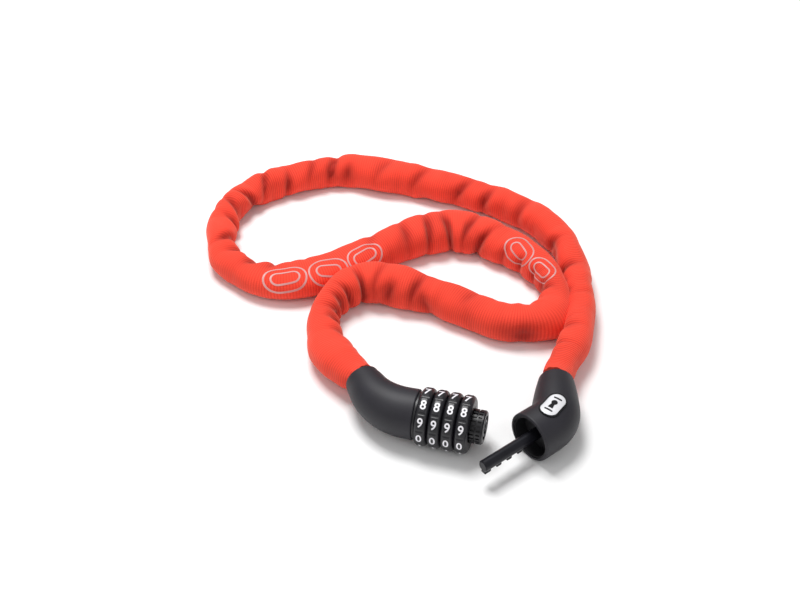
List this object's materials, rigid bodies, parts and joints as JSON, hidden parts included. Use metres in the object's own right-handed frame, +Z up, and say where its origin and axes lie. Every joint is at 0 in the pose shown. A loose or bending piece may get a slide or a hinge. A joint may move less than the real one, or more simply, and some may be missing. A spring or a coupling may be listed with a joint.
{
  "type": "combination chain lock",
  "caption": "Chain lock with number dials, a reset ring and a toothed bolt in a cup, on a link chain in a ribbed cloth sleeve.",
  "frame": {"origin": "centre of the bolt socket's mouth, at the outer end of the dial barrel", "axes": "+X along the barrel's axis, out of the bolt socket; +Z up; the lock lies on the plane z = -15 mm, the dials' radius"},
  "size_m": [0.2416, 0.2355, 0.03],
  "materials": {
    "soft_black": "soft-touch moulded, satin",
    "dial_black": "moulded ABS, satin",
    "ring_black": "moulded nylon, satin",
    "liner_black": "moulded, matte",
    "bolt_black": "black oxide steel, satin",
    "zinc": "zinc plated steel",
    "core_metal": "die-cast zinc alloy",
    "spring_steel": "spring steel strip",
    "badge_silver": "satin anodised",
    "badge_black": "gloss moulded",
    "sleeve_orange": "ribbed polyester webbing",
    "print_grey": "reflective screen print",
    "digit_white": "pad printed paint"
  },
  "bodies": {
    "chain": {"sleeve": "sleeve_orange", "end_link_lock": "zinc", "end_link_cup": "zinc", "chain_links_1": "zinc", "chain_links_2": "zinc", "chain_links_3": "zinc", "chain_links_4": "zinc", "chain_links_5": "zinc", "chain_links_6": "zinc", "chain_links_7": "zinc"},
    "lock_body": {"lock_housing": "soft_black", "thrust_washer": "ring_black", "lock_anchor_pin": "zinc"},
    "reset_barrel": {"lock_core": "core_metal", "reset_ring": "ring_black", "ring_key": "zinc", "retaining_clip": "spring_steel", "click_strip": "spring_steel", "core_washer": "zinc", "core_nut": "zinc"},
    "bolt_end": {"cup_housing": "soft_black", "cup_liner": "liner_black", "cup_anchor_pin": "zinc", "bolt": "bolt_black", "bolt_washer": "zinc", "bolt_nut": "zinc", "badge_plate": "badge_silver", "badge_frame": "badge_black"},
    "dial_1": {"dial_1": "dial_black", "code_ring_1": "core_metal"},
    "dial_2": {"dial_2": "dial_black", "code_ring_2": "core_metal"},
    "dial_3": {"dial_3": "dial_black", "code_ring_3": "core_metal"},
    "dial_4": {"dial_4": "dial_black", "code_ring_4": "core_metal"}
  },
  "joints": [
    {"name": "lock_swing", "type": "hinge", "parent": "chain", "child": "lock_body", "pos_m": [-0.0654, 0.01283, 0], "axis": [0, 0, 1], "range_deg": [-6, 6]},
    {"name": "bolt_swing", "type": "hinge", "parent": "chain", "child": "bolt_end", "pos_m": [0.02919, 0.03774, -0.00165], "axis": [0, 0, 1], "range_deg": [-6, 6]},
    {"name": "reset_turn", "type": "hinge", "parent": "lock_body", "child": "reset_barrel", "pos_m": [0, 0, 0], "axis": [1, 0, 0], "range_deg": [0, 90]},
    {"name": "dial_1_turn", "type": "hinge", "parent": "lock_body", "child": "dial_1", "pos_m": [-0.03087, 0, 0], "axis": [1, 0, 0], "continuous": true},
    {"name": "dial_2_turn", "type": "hinge", "parent": "lock_body", "child": "dial_2", "pos_m": [-0.02392, 0, 0], "axis": [1, 0, 0], "continuous": true},
    {"name": "dial_3_turn", "type": "hinge", "parent": "lock_body", "child": "dial_3", "pos_m": [-0.01698, 0, 0], "axis": [1, 0, 0], "continuous": true},
    {"name": "dial_4_turn", "type": "hinge", "parent": "lock_body", "child": "dial_4", "pos_m": [-0.01002, 0, 0], "axis": [1, 0, 0], "continuous": true}
  ]
}
